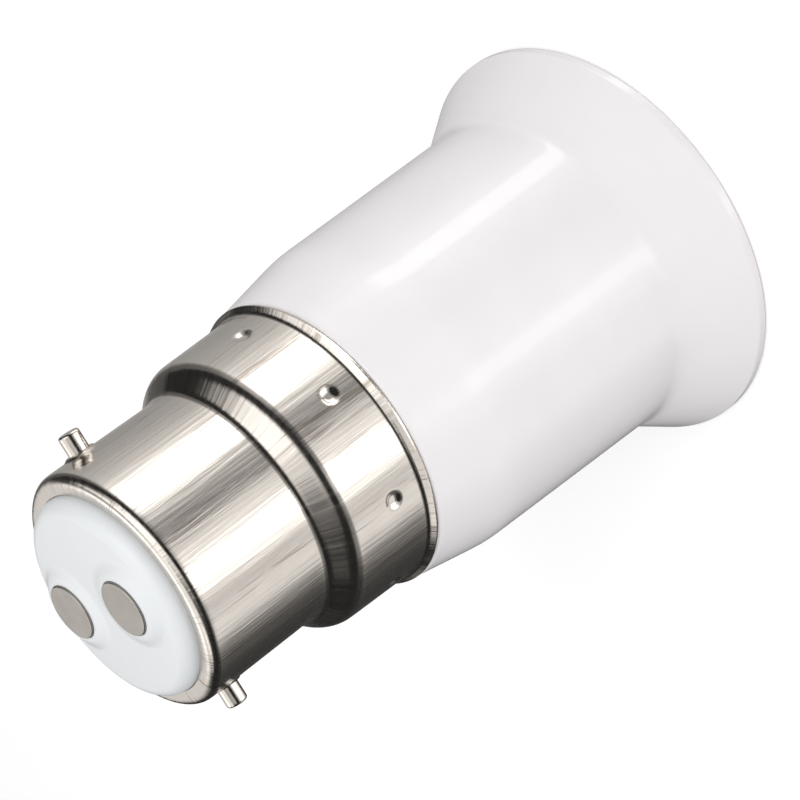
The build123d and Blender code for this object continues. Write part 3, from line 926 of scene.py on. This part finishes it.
class ADAPTER_OT_insulator(Operator):
    """Build the insulator: skirt, plate, rounded button and two bosses that blend into it"""

    bl_idname = "adapter.insulator"
    bl_label = "Insulator"

    def execute(self, context):
        s = settings_of(context).end
        corners = [
            (0.0, s.plate_low, 0.0),
            (s.skirt_inside, s.plate_low, 0.0),
            (s.skirt_inside, s.skirt_low, 0.0),
            (s.skirt_radius, s.skirt_low, 0.0),
            (s.skirt_radius, s.plate_high, s.plate_edge),
            (s.button_radius, s.plate_high, 0.0),
            (s.button_radius, s.button_top, s.button_round),
            (0.0, s.button_top, 0.0),
        ]
        outline = rounded(corners, step=0.00014, arc_step=math.radians(5))
        turns = even_turns(INSULATOR_COLUMNS)
        points = turned_points(outline, turns)
        crown = points[:, 2] > s.plate_high + BUTTON_CLEAR
        radii = np.hypot(points[:, 0], points[:, 1])
        points[crown, 2] += s.button_crown * (1 - (radii[crown] / s.button_radius) ** 2)
        for spot in contact_spots(s):
            away = np.hypot(points[:, 0] - spot.x, points[:, 1] - spot.y)
            lift = 1 - eased((away - s.boss_radius) / s.boss_fall + BOSS_OVERLAP)
            points[crown, 2] += (lift * (s.boss_top - points[:, 2]))[crown]
        piece = mesh_object("cap_insulator_button", points, grid_faces(len(outline), len(turns)))
        wide = s.contact_radius + s.contact_gap
        above = s.contact_top + s.contact_gap
        seat_outline = np.array([(0, s.contact_seat), (wide, s.contact_seat), (wide, above), (0, above)])
        cutters = []
        for spot in contact_spots(s):
            seat = turned("seat", seat_outline, even_turns(CONTACT_COLUMNS))
            seat.data.transform(Matrix.Translation(spot))
            cutters.append(seat)
        cut_away(piece, cutters)
        shade = settings_of(context).finish.white_insulator
        white = moulded_material("insert_white", shade, glossy=0.3, dull=0.4, wave_height=0.000004)
        dress(piece, white, "white_insulator", "cap_insulator")
        return {"FINISHED"}


class ADAPTER_OT_cap_contacts(Operator):
    """Build the two flat contacts with their hollow shanks"""

    bl_idname = "adapter.cap_contacts"
    bl_label = "Cap contacts"

    def execute(self, context):
        s = settings_of(context).end
        corners = [
            (0.0, s.contact_seat, 0.0),
            (s.shank_bore, s.contact_seat, 0.0),
            (s.shank_bore, s.shank_low, 0.0),
            (s.shank_radius, s.shank_low, 0.0),
            (s.shank_radius, s.contact_seat, 0.0),
            (s.contact_radius, s.contact_seat, 0.0),
            (s.contact_radius, s.contact_top, s.contact_edge),
            (0.0, s.contact_top, 0.0),
        ]
        outline = rounded(corners, step=0.0003)
        shade = settings_of(context).finish.contact
        satin = metal_material("satin_contact", shade, glossy=0.32, dull=0.46, grain_height=0.000004)
        for pole, spot in zip(("live", "neutral"), contact_spots(s)):
            piece = turned(f"contact_{pole}", outline, even_turns(CONTACT_COLUMNS))
            piece.data.transform(Matrix.Translation(spot))
            dress(piece, satin, "contact_metal", f"{pole}_cap_contact")
        return {"FINISHED"}


class ADAPTER_OT_screw_shell(Operator):
    """Dress the rolled screw shell and its rivets"""

    bl_idname = "adapter.screw_shell"
    bl_label = "Screw shell"

    def execute(self, context):
        finish = settings_of(context).finish
        rolled = plated_material(
            "rolled_plate",
            finish.nickel,
            finish.nickel_scratch_and_painted_streak,
            glossy=0.14,
            dull=0.3,
            line_height=0.000006,
            along=900.0,
        )
        repaint(rolled, "screw_shell")
        rivets = metal_material("rivet_plate", finish.nickel, glossy=0.2, dull=0.36, grain_height=0.000005)
        repaint(rivets, "screw_shell_rivet_front", "screw_shell_rivet_rear", "centre_contact_rivet")
        return {"FINISHED"}


class ADAPTER_OT_centre_contact(Operator):
    """Build the sprung centre contact, whose foot lies on the floor"""

    bl_idname = "adapter.centre_contact"
    bl_label = "Centre contact"

    def execute(self, context):
        s = settings_of(context).socket
        top = settings_of(context).housing.floor_low
        corners = [
            (-s.foot_length, top, 0.0),
            (s.heel_reach, top, s.heel_round),
            (s.heel_reach, top - s.heel_drop, s.heel_round),
            (-s.crown_offset, top - s.crown_drop, s.crown_round),
            (-s.crown_offset - s.tip_length, top - s.crown_drop + s.tip_rise, 0.0),
        ]
        line = rounded(corners, closed=False, step=0.0002, arc_step=math.radians(6))
        half = s.strip_width / 2
        rows = half * np.sin(np.linspace(-math.pi / 2, math.pi / 2, STRIP_ROWS))
        points = []
        for y in rows:
            into_corner = max(0.0, abs(y) - half + s.end_round)
            trim = s.end_round - math.sqrt(s.end_round**2 - into_corner**2)
            outline = thickened(shortened(line, trim), s.strip_thickness)
            points.extend((x, y, z) for x, z in outline)
        count = len(outline)
        last = (len(rows) - 1) * count
        closed = grid_faces(len(rows), count)
        faces = [face for face in closed if min(face) >= count or max(face) < last]
        for base in (0, last):
            faces.extend(tuple(base + k for k in face) for face in sheet_side(len(line)))
        piece = mesh_object("centre_contact_strip", points, faces)
        shade = settings_of(context).finish.bronze
        spring = metal_material("spring_bronze", shade, glossy=0.2, dull=0.34, grain_height=0.000004)
        dress(piece, spring, "spring_bronze", "centre_contact", body=None)
        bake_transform(piece)
        return {"FINISHED"}


class ADAPTER_OT_inner_fittings(Operator):
    """Dress the tags, wires and solder inside the neck"""

    bl_idname = "adapter.inner_fittings"
    bl_label = "Inner fittings"

    def execute(self, context):
        finish = settings_of(context).finish
        tin = metal_material("tinned_brass", finish.tin, glossy=0.24, dull=0.4, grain_height=0.000005)
        solder = metal_material("soft_solder", finish.tin, glossy=0.16, dull=0.3, grain_height=0.00001)
        copper = metal_material("bare_copper", finish.copper, glossy=0.2, dull=0.36, grain_height=0.000005)
        brown = covering_material("brown_covering", finish.live_cover)
        blue = covering_material("blue_covering", finish.neutral_cover)
        for pole, covering in (("live", brown), ("neutral", blue)):
            repaint(tin, f"{pole}_solder_tag")
            repaint(solder, f"{pole}_tag_solder", f"{pole}_contact_solder")
            repaint(copper, f"{pole}_wire_core")
            repaint(covering, f"{pole}_wire_insulation")
        return {"FINISHED"}


# Lights of the dome that gloss reflects. A list gives brightness by the turn in degrees from +X towards -Y,
# the camera's side. A pair gives the degrees over which a light fades in or out, mostly of its rise.
WALL_GLOW = (
    (0, 1.2), (9, 1.8), (20, 2.0), (30, 1.7), (36, 1.2), (44, 0.62), (50, 0.45), (56, 0.28), (62, 0.24),
    (68, 0.4), (76, 0.78), (90, 1.1), (98, 1.7), (101, 2.9), (109, 2.9), (112, 1.7), (120, 1.2), (130, 0.6),
    (140, 0.76), (150, 0.92), (160, 0.9), (170, 0.34), (180, 0.18), (190, 0.075), (210, 0.03), (230, 0.025),
    (250, 0.05), (262, 0.4), (278, 0.4), (286, 0.32), (300, 0.34), (320, 0.42), (340, 0.54), (354, 0.8),
    (360, 1.2),
)
WALL_DIM = (-17.0, -7.0)
WALL_DIM_SHARE = 0.25
WALL_END = (3.0, 9.0)
STRIP_GLOW = ((0, 0.0), (10, 0.0), (12, 1.7), (24, 1.7), (26, 0.0), (360, 0.0))
STRIP_END = (-17.0, -12.0)
ROOF_GLOW = (
    (0, 0.7), (10, 1.25), (34, 1.45), (63, 1.45), (80, 0.8), (95, 0.8), (111, 0.5), (125, 0.18), (138, 0.11),
    (149, 0.07), (159, 0.04), (180, 0.02), (195, 0.5), (215, 0.8), (285, 0.9), (300, 0.2), (316, 0.24),
    (336, 0.42), (344, 0.44), (352, 0.66), (360, 0.7),
)
ROOF_START = (31.0, 43.0)
BACK_GLOW = ((0, 0.0), (222, 0.0), (238, 0.7), (282, 0.7), (296, 0.0), (360, 0.0))
BACK_START = (4.0, 12.0)
BACK_END = (60.0, 75.0)
CROWN_GLOW = 0.8
CROWN_MIDDLE = 79.5
CROWN_SLOPE = 0.5
CROWN_START = (92.0, 99.0)
CROWN_INNER = (32.0, 42.0)
CROWN_OUTER = (118.0, 132.0)
TOP_GLOW = 1.15
TOP_START = (72.0, 84.0)
DARK_GLOW = 0.02


def glow_ramp(tree, turn, stops):
    """Brightness by turn about the axis, from a list of (degrees, brightness)."""
    made = add(tree, "ShaderNodeFloatCurve", {"Value": turn})
    curve = made.mapping.curves[0]
    peak = max(level for _, level in stops)
    for k, (degrees, level) in enumerate(stops):
        spot = (degrees / 360, level / peak)
        if k == 0:
            curve.points[0].location = spot
        elif k == len(stops) - 1:
            curve.points[-1].location = spot
        else:
            curve.points.new(*spot)
    for point in curve.points:
        point.handle_type = "VECTOR"
    made.mapping.update()
    return combined(tree, "MULTIPLY", made.outputs["Value"], peak)


def fade_out(tree, value, limits):
    """Mask that falls from 1 to 0 between two values."""
    return spread(tree, value, *limits, 1.0, 0.0)


def crown_light(tree, turn, rise):
    """Slanted light on both sides of the roof, which the collar's flared rim reflects."""
    past = combined(tree, "FRACT", combined(tree, "ADD", turn, 0.5 - CROWN_MIDDLE / 360))
    aside = combined(tree, "ABSOLUTE", scaled(tree, combined(tree, "SUBTRACT", past, 0.5), 360.0))
    slant = combined(tree, "ADD", scaled(tree, aside, CROWN_SLOPE), rise)
    return product(
        tree,
        spread(tree, slant, *CROWN_START, 0.0, CROWN_GLOW),
        mask(tree, aside, *CROWN_INNER),
        fade_out(tree, aside, CROWN_OUTER),
        fade_out(tree, rise, TOP_START),
    )


def dome_material():
    """Glow of the light dome by place: lights around its wall and roof, dark between them."""
    material = bpy.data.materials.new("light_dome")
    material.cycles.emission_sampling = "NONE"
    tree = empty_tree(material)
    way = vector_math(tree, "NORMALIZE", {0: object_place(tree)})
    axes = add(tree, "ShaderNodeSeparateXYZ", {"Vector": way}).outputs
    angle = combined(tree, "ARCTAN2", scaled(tree, axes["Y"], -1.0), axes["X"])
    turn = combined(tree, "FRACT", combined(tree, "DIVIDE", angle, 2 * math.pi))
    rise = combined(tree, "DEGREES", combined(tree, "ARCSINE", axes["Z"]))
    dimmed = spread(tree, rise, *WALL_DIM, 1.0, WALL_DIM_SHARE)
    lights = [
        product(tree, glow_ramp(tree, turn, WALL_GLOW), dimmed, fade_out(tree, rise, WALL_END)),
        product(tree, glow_ramp(tree, turn, STRIP_GLOW), fade_out(tree, rise, STRIP_END)),
        crown_light(tree, turn, rise),
        spread(tree, rise, *TOP_START, 0.0, TOP_GLOW),
    ]
    for stops, start, end in ((ROOF_GLOW, ROOF_START, TOP_START), (BACK_GLOW, BACK_START, BACK_END)):
        ramp = glow_ramp(tree, turn, stops)
        lights.append(product(tree, ramp, mask(tree, rise, *start), fade_out(tree, rise, end)))
    level = DARK_GLOW
    for light in lights:
        level = combined(tree, "ADD", light, level)
    glow = add(tree, "ShaderNodeEmission", {"Color": WARM_WHITE, "Strength": level})
    add(tree, "ShaderNodeOutputMaterial", {"Surface": glow.outputs["Emission"]})
    return material


def seen_directly(tree):
    """1 for what the camera sees, straight or in gloss or glass, and 0 for light on its way."""
    path = add(tree, "ShaderNodeLightPath")
    mirrored = combined(tree, "MAXIMUM", path.outputs["Is Glossy Ray"], path.outputs["Is Transmission Ray"])
    return combined(tree, "MAXIMUM", path.outputs["Is Camera Ray"], mirrored)


def floor_material(shade, lift):
    """Pale floor with a faint tone, lifted to white where it is looked at."""
    material, tree, shader = new_material("pale_floor")
    cloud = add(tree, "ShaderNodeTexNoise", {"Scale": 6.0, "Detail": 2.0}).outputs["Fac"]
    feed(tree, shader, "Base Color", mixed(tree, cloud, tuple(shade), shaded(shade, share=0.995)))
    shader.inputs["Roughness"].default_value = 0.9
    shader.inputs["Specular IOR Level"].default_value = 0.0
    shader.inputs["Emission Color"].default_value = WHITE
    feed(tree, shader, "Emission Strength", scaled(tree, seen_directly(tree), lift))
    return material


def soft_lamp(name, spot, width, energy):
    """Square area lamp that lights the object softly and isn't mirrored in it."""
    lamp = bpy.data.lights.new(name, "AREA")
    lamp.size = width
    lamp.energy = energy
    made = bpy.data.objects.new(name, lamp)
    made.location = spot
    made.rotation_euler = (Vector(DOME_MIDDLE) - Vector(spot)).to_track_quat("-Z", "Y").to_euler()
    made.visible_glossy = False
    bpy.context.scene.collection.objects.link(made)


def studio_world(level):
    """World that lights the object evenly and is white where it is looked at."""
    world = bpy.data.worlds.new("studio")
    world.cycles.sampling_method = "NONE"
    tree = empty_tree(world)
    strength = ranged(tree, seen_directly(tree), level, 1.0)
    sky = add(tree, "ShaderNodeBackground", {"Color": WHITE, "Strength": strength})
    add(tree, "ShaderNodeOutputWorld", {"Surface": sky.outputs["Background"]})
    return world


def photo_camera(stage):
    """Camera at the photograph's view."""
    lens = bpy.data.cameras.new("camera")
    lens.lens = stage.lens
    lens.sensor_width = 36.0
    lens.clip_start = 0.01
    camera = bpy.data.objects.new("camera", lens)
    right = Vector(stage.camera_right).normalized()
    up = Vector(stage.camera_up).normalized()
    turn = Matrix((right, up, right.cross(up))).transposed().to_4x4()
    camera.matrix_world = Matrix.Translation(stage.camera_spot) @ turn
    return camera


class ADAPTER_OT_stage(Operator):
    """Set the floor, the light dome, the lamps, the world and the camera"""

    bl_idname = "adapter.stage"
    bl_label = "Stage"

    def execute(self, context):
        s = settings_of(context).stage
        scene = context.scene
        corners = [(x * FLOOR_REACH, y * FLOOR_REACH, 0) for x, y in ((-1, -1), (1, -1), (1, 1), (-1, 1))]
        floor = mesh_object("floor", corners, [(0, 1, 2, 3)])
        floor.data.materials.append(floor_material(settings_of(context).finish.floor, s.floor_lift))
        floor.visible_glossy = False
        dome = mesh_object("light_dome", *ball(s.dome_radius))
        dome.location = DOME_MIDDLE
        dome.data.materials.append(dome_material())
        for way in ("camera", "diffuse", "transmission", "volume_scatter", "shadow"):
            setattr(dome, "visible_" + way, False)
        soft_lamp("key_lamp", spot=(0.25, -0.35, 0.4), width=0.4, energy=s.key_light)
        soft_lamp("fill_lamp", spot=(-0.3, -0.3, 0.35), width=0.4, energy=s.fill_light)
        soft_lamp("top_lamp", spot=(0.0, 0.08, 0.6), width=0.5, energy=s.top_light)
        scene.world = studio_world(s.world_light)
        scene.view_settings.view_transform = "Standard"
        camera = photo_camera(s)
        scene.collection.objects.link(camera)
        scene.camera = camera
        return {"FINISHED"}


class ADAPTER_PT_pieces(Panel):
    """Lists the adapter's pieces and their sizes"""

    bl_idname = "ADAPTER_PT_pieces"
    bl_label = "Lamp Socket Adapter"
    bl_space_type = "VIEW_3D"
    bl_region_type = "UI"
    bl_category = "Adapter"

    def draw(self, context):
        for made in OPERATORS:
            self.layout.operator(made.bl_idname)
        settings = settings_of(context)
        for label in ("housing", "cap", "end", "socket", "finish", "stage"):
            group = getattr(settings, label)
            box = self.layout.box()
            box.label(text=label.capitalize())
            for key in group.__annotations__:
                box.prop(group, key)


GROUPS = (HousingSizes, CapSizes, EndSizes, SocketSizes, FinishColours, StageSettings, AdapterSettings)
OPERATORS = (
    ADAPTER_OT_housing,
    ADAPTER_OT_cap_shell,
    ADAPTER_OT_pins,
    ADAPTER_OT_insulator,
    ADAPTER_OT_cap_contacts,
    ADAPTER_OT_screw_shell,
    ADAPTER_OT_centre_contact,
    ADAPTER_OT_inner_fittings,
    ADAPTER_OT_stage,
)


def register():
    """Register the settings, the operators and the panel."""
    for group in GROUPS:
        bpy.utils.register_class(group)
    bpy.types.Scene.adapter = PointerProperty(type=AdapterSettings)
    for made in OPERATORS:
        bpy.utils.register_class(made)
    bpy.utils.register_class(ADAPTER_PT_pieces)


def unregister():
    """Take everything back out."""
    bpy.utils.unregister_class(ADAPTER_PT_pieces)
    for made in reversed(OPERATORS):
        bpy.utils.unregister_class(made)
    del bpy.types.Scene.adapter
    for group in reversed(GROUPS):
        bpy.utils.unregister_class(group)


def main():
    """Register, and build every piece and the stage."""
    register()
    bpy.ops.adapter.housing()
    bpy.ops.adapter.cap_shell()
    bpy.ops.adapter.pins()
    bpy.ops.adapter.insulator()
    bpy.ops.adapter.cap_contacts()
    bpy.ops.adapter.screw_shell()
    bpy.ops.adapter.centre_contact()
    bpy.ops.adapter.inner_fittings()
    bpy.ops.adapter.stage()


if __name__ == "__main__":
    main()
